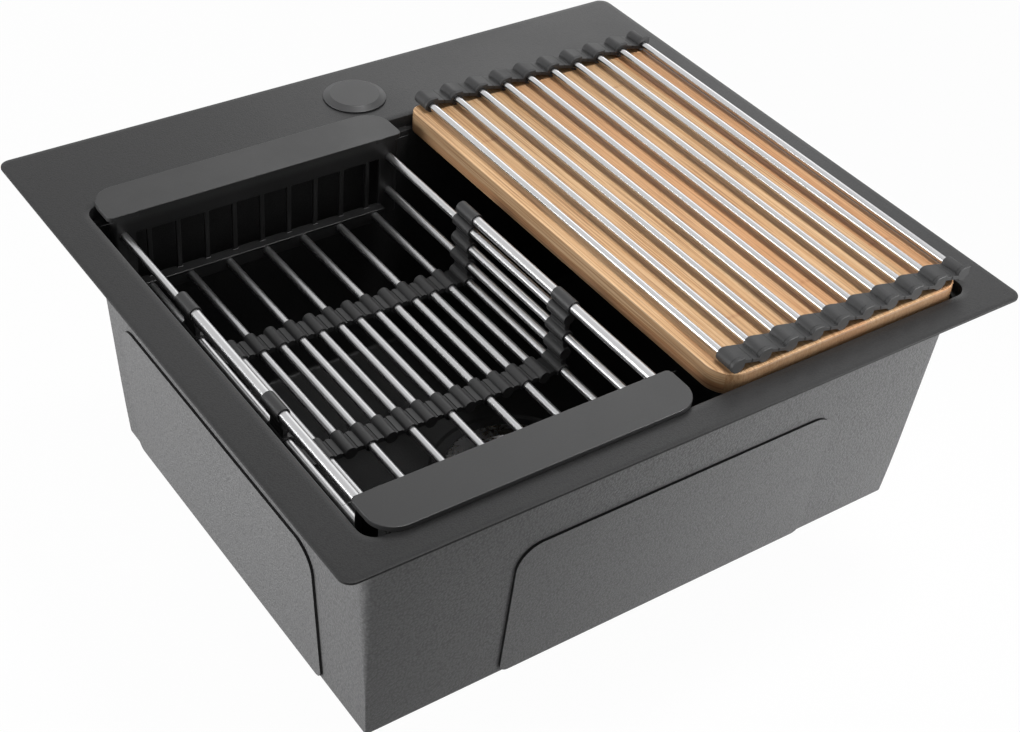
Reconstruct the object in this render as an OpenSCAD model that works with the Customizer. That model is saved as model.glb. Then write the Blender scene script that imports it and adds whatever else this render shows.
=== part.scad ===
// Workstation kitchen sink: a drop-in bowl with a tap ledge, a basket that telescopes,
// a bamboo board on the inner ledge, a drying mat that rolls up, and the waste fitting.
// X runs right along the front edge, Y to the rear, Z up. Z = 0 is the worktop's surface.

/* [Deck] */
// Width of the opening
opening_w = 500; // [470:1:560]
// Depth of the opening, front to rear
opening_d = 390; // [370:1:430]
// Strip of deck in front of the opening
front_rim = 25; // [18:1:60]
// Strip of deck at each side of the opening
side_rim = 30; // [20:1:60]
// Depth of the tap ledge behind the opening
tap_ledge = 85; // [85:1:130]
// Height of the deck above the worktop
deck_t = 2; // [1.8:0.1:3]
// Thickness of the deck's sheet inside its folded rim
deck_sheet_t = 1.2; // [0.8:0.1:1.4]
// Width of the folded rim that lies on the worktop
fold_w = 8; // [5:0.5:9]
// Corner radius of the deck
deck_corner_r = 9; // [4:0.5:20]
// Corner radius of the opening
opening_corner_r = 12; // [8:0.5:16]

/* [Bowl] */
// Depth of the bowl below the worktop, outside
bowl_h = 203; // [170:1:240]
// Thickness of the bowl's sheet
sheet_t = 1.2; // [0.8:0.1:1.6]
// Drop from the deck's top to the inner ledge
ledge_drop = 10; // [8:0.5:12]
// Width of the ledge at the front
ledge_front = 6; // [4:0.5:8]
// Width of the ledge at the rear
ledge_rear = 5; // [4:0.5:6]
// Width of the ledge at the sides
ledge_side = 2; // [1.5:0.5:3]
// How far each wall leans in from top to bottom
wall_taper = 14; // [4:0.5:20]
// Outside radius of the bowl's upright corners
bowl_corner_r = 12; // [8:0.5:16]
// Outside radius where the walls meet the floor
floor_edge_r = 4; // [2:0.5:6]
// Width of the lip that joins the bowl to the deck
joining_lip = 8; // [5:0.5:9]

/* [Sound pads] */
// Length of a pad on a wall
pad_w = 277; // [220:1:300]
// Thickness of a pad
pad_t = 2; // [1:0.1:3]
// Top edge of the pads, below the worktop
pad_top = 74.5; // [60:0.5:100]
// Radius of a pad's upper corners
pad_upper_r = 20; // [8:1:30]
// Radius of a pad's lower corners
pad_lower_r = 8; // [4:1:16]
// Shift of the front and rear pads to the right
pad_shift_x = 9; // [-20:1:20]
// Shift of the side pads to the rear of the opening's centre
pad_shift_y = 17.5; // [0:0.5:20]
// Width of the pad under the floor
floor_pad_w = 300; // [200:1:380]
// Depth of the pad under the floor
floor_pad_d = 230; // [190:1:280]

/* [Tap hole] */
// Radius of the tap hole
tap_hole_r = 17.5; // [15:0.5:18]
// Distance of the tap hole behind the opening
tap_hole_offset = 43; // [40:0.5:45]
// Radius of the cover over the tap hole
cover_r = 25; // [22:0.5:26]
// Height of the cover
cover_h = 3.2; // [2:0.1:5]
// Width of the bevel round the cover
cover_bevel = 4.5; // [2:0.5:8]
// Thickness of the cover's seal
cover_seal_t = 0.6; // [0.4:0.1:1.5]

/* [Basket] */
// Gap between the basket and the opening's left edge
basket_side_gap = 7.5; // [7.5:0.5:12]
// Width of the basket's end mouldings
basket_w = 244; // [220:1:260]
// Gap between the basket and the board
middle_gap = 20.5; // [14:0.5:30]
// Depth of a flange, front to rear
flange_d = 37.5; // [34:0.5:42]
// Thickness of a flange
flange_t = 4; // [3:0.5:6]
// How far the front flange laps onto the deck
front_lap = 3.5; // [2:0.5:8]
// How far the rear flange laps onto the deck
rear_lap = 12; // [8:0.5:12]
// Outer corner radius of a flange
flange_outer_r = 19; // [10:1:24]
// Inner corner radius of a flange
flange_inner_r = 4; // [2:0.5:8]
// How far the foot of the end mouldings lies under the floor rods
end_foot_drop = 6; // [5:0.5:8]
// Depth of an end moulding's body, front to rear
end_body_d = 8; // [7:0.5:9]
// Radius of that body's outer corners
end_body_r = 4; // [2:0.5:4]
// Inset of that body from the flange's ends
end_body_inset = 2.5; // [2:0.5:4]
// Wall thickness of the end mouldings
end_wall = 2.5; // [1.5:0.1:3.5]
// Height of the bar that holds the floor rods
holder_h = 10.5; // [9:0.5:14]
// How far that bar stands in front of the slotted wall
holder_reach = 7; // [5:0.5:10]
// Number of slots in an end wall
slot_count = 10; // [6:1:12]
// Width of the rib between two slots
slot_rib = 3.6; // [2:0.1:6]
// Distance of the slots from the moulding's sides
slot_inset = 20; // [18:0.5:24]
// Top of the slots below the deck's top
slot_top = 14; // [12:0.5:24]
// Number of floor rods
floor_rod_count = 15; // [9:2:17]
// Distance of the outermost rods from the moulding's sides
rod_inset = 11; // [10:0.5:13]
// Depth of the floor rods below the deck's top
rod_drop = 60; // [52:1:70]
// Radius of the rods
rod_r = 3; // [2:0.1:3.2]
// Radius of the rail tubes
tube_r = 3.8; // [3.4:0.1:4.4]
// Wall of the rail tubes
tube_wall = 0.8; // [0.5:0.1:1]
// Distance of the rail tubes from the moulding's sides
rail_inset = 8; // [7:0.5:9]
// Depth of the rail tubes below the deck's top
rail_drop = 5; // [5:0.5:6]
// Drop from a rail tube to the rod below it
rail_gap = 9.1; // [8.5:0.1:11]
// Length of a cross strip along the rods
strip_len = 21; // [16:0.5:28]
// Centre of the rear cross strip from the deck's centre
rear_strip_y = 33.5; // [20:0.5:45]
// Centre of the front cross strip from the deck's centre
front_strip_y = -87; // [-95:0.5:-75]
// Wall of a cross strip round its rods
strip_wall = 1.8; // [1.4:0.1:2.2]
// Wall of a cross strip's collar round the rail tube
collar_wall = 1.3; // [1:0.1:1.8]
// Thickness of a cross strip between its rods
strip_link_t = 3.8; // [3:0.1:5]
// Height of the rib along a cross strip between two rods
strip_rib_h = 0.7; // [0.4:0.1:1.5]
// Closed end of a rod's socket in a cross strip
socket_end = 2.5; // [1.5:0.1:4]

/* [Board] */
// Thickness of the board
board_t = 18; // [14:0.5:24]
// Radius of the board's front corners
board_front_r = 21; // [10:0.5:30]
// Radius of the board's rear corners
board_rear_r = 10; // [8:0.5:24]
// Rounding of the board's edges
board_edge_r = 1.5; // [1:0.5:4]
// Gap between the board and the opening's right edge
board_side_gap = 4; // [2:0.5:8]
// Gap between the board and the opening, front and rear
board_end_gap = 1.5; // [0.8:0.1:2]

/* [Mat] */
// Number of rods in the mat
mat_rod_count = 10; // [10:1:10]
// Radius of the mat's rods
mat_rod_r = 3; // [2.5:0.1:4]
// Rubber wall round a mat rod
mat_wall = 2.2; // [1.6:0.1:3]
// First rod of the mat, right of the board's left edge
mat_left_inset = 12.55; // [8:0.05:16]
// Last rod of the mat, left of the board's right edge
mat_right_inset = 1.75; // [1.5:0.05:12]
// Front edge of the mat behind the board's front edge
mat_front_inset = 2.5; // [0:0.5:8]
// How far the mat runs past the board's rear edge
mat_rear_over = 3; // [0:0.5:8]
// Length of a rubber sleeve along its rod
sleeve_len = 17.5; // [14:0.5:26]
// Thickness of the web between two sleeves
web_t = 3; // [2:0.1:4]
// Height of the web's underside above the board
web_lift = 4.6; // [3:0.1:5]
// Length of the raised lip at a sleeve's front end
lip_len = 3; // [2:0.5:6]
// Height of that lip above the sleeve
lip_h = 0.5; // [0.2:0.1:1.2]
// Closed end of a sleeve
sleeve_end = 2.5; // [1.5:0.1:4]

/* [Waste] */
// Centre of the waste, behind the deck's centre
waste_y = -42; // [-50:1:-24]
// Radius of the recess pressed round the waste
recess_r = 67; // [62:1:72]
// Depth of that recess
recess_h = 3; // [2:0.1:4]
// Radius of the hole in the floor
waste_hole_r = 45; // [44:0.5:46]
// Radius of the steel flange in the bowl
waste_flange_r = 57; // [56:0.5:60]
// Thickness of the steel flange
waste_flange_t = 1.6; // [1.2:0.1:2.5]
// Thickness of the upper gasket
upper_gasket_t = 1; // [0.6:0.1:2]
// Thickness of the lower gasket
lower_gasket_t = 3; // [2:0.1:4]
// Depth of the steel cup below its flange
cup_h = 32; // [30:1:36]
// Outside radius of the steel cup
cup_r = 42.5; // [41:0.5:43]
// Wall of the steel cup
cup_wall = 1.4; // [1:0.1:2]
// Outside radius of the plastic body
body_r = 49; // [48.5:0.5:52]
// Wall of the plastic body
body_wall = 2.6; // [2:0.1:3]
// Length of the plastic body below its flange
body_h = 41; // [40:1:50]
// Outside radius of the outlet, G 1 1/2
outlet_r = 23.9; // [20:0.1:24]
// Inside radius of the outlet
outlet_bore_r = 20; // [16:0.5:20]
// Length of the outlet
outlet_len = 28; // [20:1:40]
// Radius of the screw that clamps the waste
clamp_screw_r = 3; // [2.5:0.1:4]
// Thickness of the strainer's seal
strainer_seal_t = 3.2; // [3:0.1:4]
// Outside radius of the strainer
strainer_r = 37.5; // [34:0.5:38]
// Height of the strainer's wall
strainer_h = 20; // [16:1:24]
// Thickness of the strainer's sheet
strainer_t = 1; // [0.8:0.1:1.5]
// Radius of the strainer's knob
knob_r = 9; // [7:0.5:12]
// Height of the knob's top above the strainer's floor
knob_top = 34; // [30:1:40]

/* [Fits] */
// Radial clearance of a rod in its own socket
socket_fit = 0.1; // [0.05:0.01:0.15]
// Radial clearance of a rod or tube that slides
slide_fit = 0.3; // [0.2:0.05:0.4]
// Layer of glue behind a pad
glue_t = 0.1; // [0.05:0.01:0.2]
// Gap between two webs of the mat
web_gap = 0.2; // [0.1:0.05:0.4]

/* [Hidden] */
$fn = 64;
cut = 1;                    // how far a cutting shape runs past what it cuts
hair = 0.02;                // overlap of shapes that are joined

// Deck and bowl
deck_w = opening_w + 2 * side_rim;
deck_d = front_rim + opening_d + tap_ledge;
deck_under = deck_t - deck_sheet_t;            // underside of the deck inside its folded rim
opening_y0 = -deck_d / 2 + front_rim;
opening_y1 = opening_y0 + opening_d;
opening_yc = (opening_y0 + opening_y1) / 2;
ledge_z = deck_t - ledge_drop;
tub_x = opening_w / 2 - ledge_side + sheet_t;
tub_y0 = opening_y0 + ledge_front - sheet_t;
tub_y1 = opening_y1 - ledge_rear + sheet_t;
floor_top = -bowl_h + sheet_t;
slope_run = bowl_h - floor_edge_r + ledge_z;
lean = atan(wall_taper / slope_run);
tub_fn = 32;

// Pads
pad_foot = bowl_h - floor_edge_r;
pad_len = (pad_foot - pad_top) / cos(lean);
pad_run = (pad_top + ledge_z) / cos(lean);
floor_pad_hole_r = recess_r + sheet_t + 3;
floor_pad_y = (tub_y0 + tub_y1) / 2;
side_pad_y = opening_yc + pad_shift_y;

// Tap hole
tap_hole_y = opening_y1 + tap_hole_offset;
cover_z = deck_t + cover_seal_t;
cover_core_r = tap_hole_r - 1.5;
stud_r = 4;
stud_len = 30;
washer_r = cover_r - 3;
washer_t = 2;
nut_r = 8;
nut_h = 7;
wing_reach = 19;
wing_h = 12;
wing_t = 3;

// Basket
basket_x = -opening_w / 2 + basket_side_gap + basket_w / 2;
front_face = opening_y0 - front_lap + flange_d;
rear_face = opening_y1 + rear_lap - flange_d;
rod_span = basket_w - 2 * rod_inset;
floor_rod_z = deck_t - rod_drop;
rail_half = basket_w / 2 - rail_inset;
rail_z = deck_t - rail_drop;
side_step = (rail_z - rail_gap - floor_rod_z) / 3;
end_half = basket_w / 2 - end_body_inset;
end_foot = floor_rod_z - end_foot_drop;
holder_top = end_foot + holder_h;
slots_w = basket_w - 2 * slot_inset;
slot_pitch = (slots_w + 25) / slot_count;      // the outermost slots are cut short by 12.5
end_near_r = min(flange_inner_r, end_body_d - end_body_r - 0.1);
blind = end_wall - 1;                          // how deep a rod runs past the slotted wall's face
floor_pitch = rod_span / (floor_rod_count - 1);
link_inset = 2;
link_sink = 0.9;
// A spot is [x, z, rod radius, wall round the rod, true where the front half owns the rod]
side_spots = function(s, rows) [for (k = rows)
    [s * rod_span / 2, floor_rod_z + k * side_step, rod_r, strip_wall, k == 2]];
floor_spots = [for (i = [0:floor_rod_count - 1])
    [-rod_span / 2 + i * floor_pitch, floor_rod_z, rod_r, strip_wall, i % 2 == 0]];
left_rail = [-rail_half, rail_z, tube_r, collar_wall, true];
right_rail = [rail_half, rail_z, tube_r, collar_wall, true];
rod_spots = concat(side_spots(-1, [3, 2, 1]), floor_spots, side_spots(1, [1, 2, 3]));
chain = concat([left_rail], rod_spots, [right_rail]);

// Board
board_x0 = basket_x + basket_w / 2 + middle_gap;
board_x1 = opening_w / 2 - board_side_gap;
board_w = board_x1 - board_x0;
board_xc = (board_x0 + board_x1) / 2;
board_y0 = opening_y0 + board_end_gap;
board_y1 = opening_y1 - board_end_gap;
board_top = ledge_z + board_t;

// Mat
sleeve_r = mat_rod_r + mat_wall;
mat_z = board_top + sleeve_r;
mat_y0 = board_y0 + mat_front_inset;
mat_y1 = board_y1 + mat_rear_over;
mat_x0 = board_x0 + mat_left_inset;
mat_pitch = (board_w - mat_left_inset - mat_right_inset) / (mat_rod_count - 1);
web_z = board_top + web_lift;
lip_reach = sleeve_r + 0.6;
fold_x = mat_pitch / 2;     // from a sleeve's centre to the line where the mat folds
fold_z = web_z + web_t - mat_z;
crest = atan2(fold_z, fold_x) + acos(sleeve_r / norm([fold_x, fold_z]));
web_fall = 1 / tan(crest);  // drop of the webs for each mm to the right

// Waste
recess_z = floor_top - recess_h;               // top of the recess's floor
recess_under = recess_z - sheet_t;
flange_z = recess_z + upper_gasket_t;          // underside of the steel flange
cup_floor = flange_z - cup_h;                  // underside of the cup's floor
cup_in_r = cup_r - cup_wall;
body_top = recess_under - lower_gasket_t;
body_foot = body_top - body_h;
body_rim_t = 3;
spider_w = 12;
spider_t = 8;
spider_z = cup_floor - 3 - spider_t;
screw_head_r = 7;
screw_head_h = 2.2;
seal_r = 33;
outlet_hole_r = 5.5;
outlet_hole_ring = 22;
outlet_hole_count = 8;
strainer_z = cup_floor + cup_wall + strainer_seal_t;
strainer_hole_r = 2.2;
strainer_hole_count = 16;
stem_r = 3;
stem_nut_h = 2;

steel = [0.80, 0.81, 0.82];
coated = [0.26, 0.26, 0.27];
coated_side = [0.36, 0.36, 0.37];
plastic = [0.20, 0.20, 0.21];
rubber = [0.13, 0.13, 0.14];
bamboo = [0.80, 0.65, 0.47];

// Outlines

module outline(w, d, r) {
    square([w - 2 * r, d], center = true);
    square([w, d - 2 * r], center = true);
    for (x = [-1, 1], y = [-1, 1]) translate([x * (w / 2 - r), y * (d / 2 - r)]) circle(r);
}

// Centred on X, from y = 0 to y = d, with one radius at y = 0 and another at y = d
module two_radius_outline(w, d, near_r, far_r) {
    translate([-w / 2 + near_r, 0]) square([w - 2 * near_r, d - far_r]);
    translate([-w / 2, near_r]) square([w, d - near_r - far_r]);
    translate([-w / 2 + far_r, d - far_r - hair]) square([w - 2 * far_r, far_r + hair]);
    for (s = [-1, 1]) {
        translate([s * (w / 2 - near_r), near_r]) circle(near_r);
        translate([s * (w / 2 - far_r), d - far_r]) circle(far_r);
    }
}

module opening_outline(grow = 0) {
    translate([0, opening_yc]) outline(opening_w + 2 * grow, opening_d + 2 * grow, opening_corner_r + grow);
}

module rod_along_y(x, z, y0, y1, r) {
    translate([x, y0, z]) rotate([-90, 0, 0]) cylinder(r = r, h = y1 - y0);
}

// Deck and bowl

module deck() {
    color(coated) difference() {
        linear_extrude(deck_t) outline(deck_w, deck_d, deck_corner_r);
        translate([0, 0, -cut]) linear_extrude(deck_under + cut)
            outline(deck_w - 2 * fold_w, deck_d - 2 * fold_w, max(deck_corner_r - fold_w, 1));
        translate([0, 0, -cut]) linear_extrude(deck_t + 2 * cut) opening_outline();
        translate([0, tap_hole_y, -cut]) cylinder(r = tap_hole_r, h = deck_t + 2 * cut);
    }
}

// One corner of the bowl's foot, rounded below
module tub_foot(r, edge_r) {
    rotate_extrude($fn = tub_fn) intersection() {
        union() {
            translate([r - edge_r, edge_r]) circle(edge_r, $fn = tub_fn);
            square([r - edge_r, 2 * edge_r]);
        }
        square([r, edge_r]);
    }
}

// The bowl's outer form, or its hollow with shrink at the sheet's thickness
module tub(shrink, top_h) {
    r = bowl_corner_r - shrink;
    hull() for (sx = [-1, 1], y = [tub_y0, tub_y1]) {
        inward = y == tub_y0 ? 1 : -1;
        translate([sx * (tub_x - bowl_corner_r), y + inward * bowl_corner_r, ledge_z - hair])
            cylinder(r = r, h = top_h + hair, $fn = tub_fn);
        translate([sx * (tub_x - wall_taper - bowl_corner_r),
                   y + inward * (bowl_corner_r + wall_taper), -bowl_h + shrink])
            tub_foot(r, floor_edge_r - min(shrink, floor_edge_r - 0.5));
    }
}

module bowl() {
    color(coated_side) difference() {
        union() {
            translate([0, 0, deck_under - sheet_t]) linear_extrude(sheet_t) opening_outline(joining_lip);
            translate([0, 0, ledge_z - sheet_t]) linear_extrude(deck_under - ledge_z + sheet_t)
                opening_outline(sheet_t);
            tub(0, 0);
            translate([0, waste_y, recess_under]) cylinder(r = recess_r + sheet_t, h = recess_h + sheet_t);
        }
        translate([0, 0, ledge_z]) linear_extrude(deck_under - ledge_z + cut) opening_outline();
        tub(sheet_t, cut);
        translate([0, waste_y, recess_z]) cylinder(r = recess_r, h = recess_h + cut);
        translate([0, waste_y, recess_under - cut])
            cylinder(r = waste_hole_r, h = recess_h + sheet_t + 2 * cut);
    }
}

// Sound pads

// Puts a shape that lies in the XY plane on a wall: x along the wall, y up it, z outward
module on_wall(turn, x, y) {
    rotate([0, 0, turn]) translate([x, y, ledge_z]) rotate([90 + lean, 0, 0])
        translate([0, -pad_run, glue_t]) children();
}

module pad() {
    color(coated_side) linear_extrude(pad_t) rotate(180)
        two_radius_outline(pad_w, pad_len, pad_upper_r, pad_lower_r);
}

module pad_front() { on_wall(0, pad_shift_x, tub_y0) pad(); }
module pad_rear() { on_wall(180, -pad_shift_x, -tub_y1) pad(); }
module pad_left() { on_wall(-90, -side_pad_y, -tub_x) pad(); }
module pad_right() { on_wall(90, side_pad_y, -tub_x) pad(); }

module pad_floor() {
    color(coated_side) translate([0, 0, -bowl_h - glue_t - pad_t]) linear_extrude(pad_t) difference() {
        translate([0, floor_pad_y]) outline(floor_pad_w, floor_pad_d, pad_upper_r);
        translate([0, waste_y]) circle(floor_pad_hole_r);
    }
}

// Tap hole

module tap_hole_cover() {
    color(coated) translate([0, tap_hole_y, 0]) {
        translate([0, 0, cover_z]) rotate_extrude() polygon([
            [0, 0], [cover_r, 0], [cover_r, 0.6], [cover_r - cover_bevel, cover_h - 0.5],
            [cover_r - cover_bevel - 0.8, cover_h], [0, cover_h]]);
        translate([0, 0, deck_t - 1]) cylinder(r = cover_core_r, h = cover_seal_t + 1 + hair);
        translate([0, 0, cover_z - stud_len]) cylinder(r = stud_r, h = stud_len + hair);
    }
}

module tap_hole_seal() {
    color(rubber) translate([0, tap_hole_y, deck_t]) difference() {
        cylinder(r = cover_r - 1, h = cover_seal_t);
        translate([0, 0, -cut]) cylinder(r = tap_hole_r, h = cover_seal_t + 2 * cut);
    }
}

module tap_hole_washer() {
    color(steel) translate([0, tap_hole_y, deck_under - washer_t]) difference() {
        cylinder(r = washer_r, h = washer_t);
        translate([0, 0, -cut]) cylinder(r = stud_r + socket_fit, h = washer_t + 2 * cut);
    }
}

module tap_hole_nut() {
    color(steel) translate([0, tap_hole_y, deck_under - washer_t - nut_h]) difference() {
        union() {
            cylinder(r = nut_r, h = nut_h);
            for (s = [-1, 1]) translate([0, -wing_t / 2, -(wing_h - nut_h)]) mirror([s < 0 ? 1 : 0, 0, 0])
                translate([nut_r - 2, 0, 0]) cube([wing_reach - nut_r, wing_t, wing_h]);
        }
        translate([0, 0, -cut]) cylinder(r = stud_r + socket_fit, h = nut_h + 2 * cut);
    }
}

// Waste

module waste_flange() {
    rim_r = waste_flange_r;
    color(steel) translate([0, waste_y, 0]) difference() {
        rotate_extrude() polygon([
            [0, cup_floor], [cup_r, cup_floor], [cup_r, flange_z], [rim_r, flange_z],
            [rim_r, flange_z + waste_flange_t / 2], [rim_r - 1.5, flange_z + waste_flange_t],
            [cup_in_r + 2, flange_z + waste_flange_t], [cup_in_r, flange_z + waste_flange_t - 2],
            [cup_in_r, cup_floor + cup_wall], [0, cup_floor + cup_wall]]);
        translate([0, 0, cup_floor - cut]) cylinder(r = clamp_screw_r + socket_fit, h = cup_wall + 2 * cut);
        for (i = [0:outlet_hole_count - 1]) rotate([0, 0, i * 360 / outlet_hole_count])
            translate([outlet_hole_ring, 0, cup_floor - cut])
                cylinder(r = outlet_hole_r, h = cup_wall + 2 * cut);
    }
}

module waste_ring(z, h) {
    color(rubber) translate([0, waste_y, z]) difference() {
        cylinder(r = waste_flange_r - 1, h = h);
        translate([0, 0, -cut]) cylinder(r = waste_hole_r + 1, h = h + 2 * cut);
    }
}

module waste_upper_gasket() { waste_ring(recess_z, upper_gasket_t); }
module waste_lower_gasket() { waste_ring(body_top, lower_gasket_t); }

module waste_body() {
    in_r = body_r - body_wall;
    color(plastic) translate([0, waste_y, 0]) difference() {
        union() {
            rotate_extrude() polygon([
                [in_r, body_top], [waste_flange_r, body_top], [waste_flange_r, body_top - body_rim_t],
                [body_r, body_top - body_rim_t], [body_r, body_foot + 10], [outlet_r + 4, body_foot],
                [outlet_bore_r, body_foot], [outlet_bore_r, body_foot + body_wall],
                [outlet_r + 2, body_foot + body_wall], [in_r, body_foot + 10 + body_wall]]);
            translate([0, 0, spider_z + spider_t / 2])
                cube([2 * in_r + body_wall, spider_w, spider_t], center = true);
        }
        translate([0, 0, spider_z - cut]) cylinder(r = clamp_screw_r + socket_fit, h = spider_t + 2 * cut);
    }
}

// The outlet below the body
module waste_outlet_pipe() {
    color(plastic) translate([0, waste_y, body_foot - outlet_len]) difference() {
        cylinder(r = outlet_r, h = outlet_len);
        translate([0, 0, -cut]) cylinder(r = outlet_bore_r, h = outlet_len + 2 * cut);
    }
}

module waste_screw() {
    seat = cup_floor + cup_wall;
    color(steel) translate([0, waste_y, 0]) difference() {
        union() {
            translate([0, 0, seat]) cylinder(r = screw_head_r, h = screw_head_h);
            translate([0, 0, spider_z - 2]) cylinder(r = clamp_screw_r, h = seat - spider_z + 2 + hair);
        }
        translate([0, 0, seat + screw_head_h]) cube([2 * screw_head_r + cut, 1.6, 2.4], center = true);
    }
}

module strainer_basket() {
    color(steel) translate([0, waste_y, strainer_z]) difference() {
        rotate_extrude() polygon([
            [0, 0], [strainer_r - 6, 0], [strainer_r - 2, 4], [strainer_r - 2, strainer_h - 1],
            [strainer_r, strainer_h - 1], [strainer_r, strainer_h],
            [strainer_r - 2 - strainer_t, strainer_h], [strainer_r - 2 - strainer_t, 4.4],
            [strainer_r - 6.4, strainer_t], [0, strainer_t]]);
        translate([0, 0, -cut]) cylinder(r = stem_r + socket_fit, h = strainer_t + 2 * cut);
        for (i = [0:strainer_hole_count - 1], row = [0, 1])
            rotate([0, 0, (i + row / 2) * 360 / strainer_hole_count])
                translate([strainer_r - 6, 0, strainer_h * (0.4 + 0.3 * row)]) rotate([0, 90, 0])
                    cylinder(r = strainer_hole_r, h = 8);
    }
}

module strainer_knob() {
    color(steel) translate([0, waste_y, strainer_z]) rotate_extrude() polygon([
        [0, -0.5], [stem_r, -0.5], [stem_r, strainer_t], [stem_r + 3, strainer_t],
        [stem_r + 3, strainer_t + stem_nut_h], [stem_r, strainer_t + stem_nut_h],
        [stem_r, knob_top - 9], [knob_r - 1.5, knob_top - 6], [knob_r, knob_top - 4],
        [knob_r, knob_top - 2], [knob_r - 2, knob_top - 0.4], [knob_r - 5, knob_top], [0, knob_top]]);
}

module strainer_seal() {
    color(rubber) translate([0, waste_y, strainer_z - strainer_seal_t]) difference() {
        cylinder(r = min(seal_r, strainer_r - 4), h = strainer_seal_t);
        translate([0, 0, -cut]) cylinder(r = screw_head_r + 2, h = strainer_seal_t + 2 * cut);
    }
}

// Basket

// An end moulding with its slotted face at y = 0 and its flange behind it, for the rods it holds
module basket_end(spots) {
    color(plastic) difference() {
        union() {
            translate([0, 0, deck_t])
                linear_extrude(flange_t)
                    two_radius_outline(basket_w, flange_d, flange_inner_r, flange_outer_r);
            difference() {
                translate([0, 0, end_foot]) linear_extrude(deck_t - end_foot + hair)
                    two_radius_outline(2 * end_half, end_body_d, end_near_r, end_body_r);
                translate([-end_half + end_wall, end_wall, end_foot + end_wall])
                    cube([2 * (end_half - end_wall), end_body_d, deck_t - end_foot - end_wall]);
            }
            translate([-slots_w / 2 - 2, -holder_reach, end_foot])
                cube([slots_w + 4, holder_reach + end_wall, holder_h]);
        }
        for (i = [0:slot_count - 1]) {
            x0 = max(-slots_w / 2, (i - slot_count / 2) * slot_pitch + slot_rib / 2);
            x1 = min(slots_w / 2, (i + 1 - slot_count / 2) * slot_pitch - slot_rib / 2);
            translate([x0, -cut, holder_top])
                cube([x1 - x0, end_wall + 2 * cut, deck_t - slot_top - holder_top]);
        }
        for (p = spots) rod_along_y(p[0], p[1], -holder_reach - cut, blind, p[2] + socket_fit);
    }
}

front_spots = [for (p = chain) if (p[4]) p];
rear_spots = [for (p = chain) if (!p[4]) p];

module basket_end_front() {
    translate([basket_x, front_face, 0]) mirror([0, 1, 0]) basket_end(front_spots);
}

module basket_end_rear() {
    translate([basket_x, rear_face, 0]) basket_end(rear_spots);
}

// A U-shaped strip across the basket; it holds the rods of one half and slides on the others
module cross_strip(yc, of_front) {
    y0 = yc - strip_len / 2;
    y1 = yc + strip_len / 2;
    color(rubber) translate([basket_x, 0, 0]) difference() {
        union() {
            for (p = chain) rod_along_y(p[0], p[1], y0, y1, p[2] + p[3]);
            for (i = [0:len(chain) - 2]) {
                a = chain[i];
                b = chain[i + 1];
                run = norm([b[0] - a[0], b[1] - a[1]]);
                translate([a[0], yc, a[1]]) rotate([0, -atan2(b[1] - a[1], b[0] - a[0]), 0])
                    translate([run / 2, 0, -link_sink]) {
                        cube([run, strip_len - 2 * link_inset, strip_link_t], center = true);
                        translate([0, 0, strip_link_t / 2])
                            cube([run / 5, strip_len - 2 * link_inset, 2 * strip_rib_h], center = true);
                    }
            }
        }
        for (p = chain) {
            held = p[4] == of_front;
            fit = held ? socket_fit : slide_fit;
            rod_along_y(p[0], p[1], held && !of_front ? y0 + socket_end : y0 - cut,
                        held && of_front ? y1 - socket_end : y1 + cut, p[2] + fit);
        }
    }
}

module basket_strip_rear() { cross_strip(rear_strip_y, true); }
module basket_strip_front() { cross_strip(front_strip_y, false); }

front_rod_y0 = front_face - blind;
front_rod_y1 = rear_strip_y + strip_len / 2 - socket_end;
rear_rod_y0 = front_strip_y - strip_len / 2 + socket_end;
rear_rod_y1 = rear_face + blind;

module basket_rods_front() {
    color(steel) for (p = rod_spots) if (p[4])
        rod_along_y(basket_x + p[0], p[1], front_rod_y0, front_rod_y1, p[2]);
}

module basket_rods_rear() {
    color(steel) for (p = rod_spots) if (!p[4])
        rod_along_y(basket_x + p[0], p[1], rear_rod_y0, rear_rod_y1, p[2]);
}

module rail_tube(spot) {
    color(steel) difference() {
        rod_along_y(basket_x + spot[0], spot[1], front_rod_y0, front_rod_y1, tube_r);
        rod_along_y(basket_x + spot[0], spot[1], front_rod_y0 - cut, front_rod_y1 + cut, tube_r - tube_wall);
    }
}

module basket_tube_left() { rail_tube(left_rail); }
module basket_tube_right() { rail_tube(right_rail); }

// Board

module board_corner(r) {
    rotate_extrude() {
        square([r - board_edge_r, board_t]);
        translate([0, board_edge_r]) square([r, board_t - 2 * board_edge_r]);
        for (z = [board_edge_r, board_t - board_edge_r])
            translate([r - board_edge_r, z]) circle(board_edge_r);
    }
}

// A bar with the board's rounded section, w wide and centred, and long along Y from y = 0
module board_bar(w, long) {
    translate([0, long, board_t / 2]) rotate([90, 0, 0])
        linear_extrude(long) outline(w, board_t, board_edge_r);
}

module cutting_board() {
    d = board_y1 - board_y0;
    rear_d = d / 2;
    color(bamboo) translate([board_xc, board_y0, ledge_z]) {
        translate([0, board_front_r, 0]) board_bar(board_w, d - board_front_r - board_rear_r);
        translate([board_w / 2 - board_front_r, d / 2, 0]) rotate([0, 0, 90])
            board_bar(d, board_w - 2 * board_front_r);
        translate([board_w / 2 - board_rear_r, d - rear_d / 2, 0]) rotate([0, 0, 90])
            board_bar(rear_d, board_w - 2 * board_rear_r);
        for (x = [-1, 1]) {
            translate([x * (board_w / 2 - board_front_r), board_front_r, 0]) board_corner(board_front_r);
            translate([x * (board_w / 2 - board_rear_r), d - board_rear_r, 0]) board_corner(board_rear_r);
        }
    }
}

// Mat

function mat_x(i) = mat_x0 + (i - 1) * mat_pitch;

module mat_rod(i) {
    color(steel) rod_along_y(mat_x(i), mat_z, mat_y0 + sleeve_end, mat_y1 - sleeve_end, mat_rod_r);
}

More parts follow.
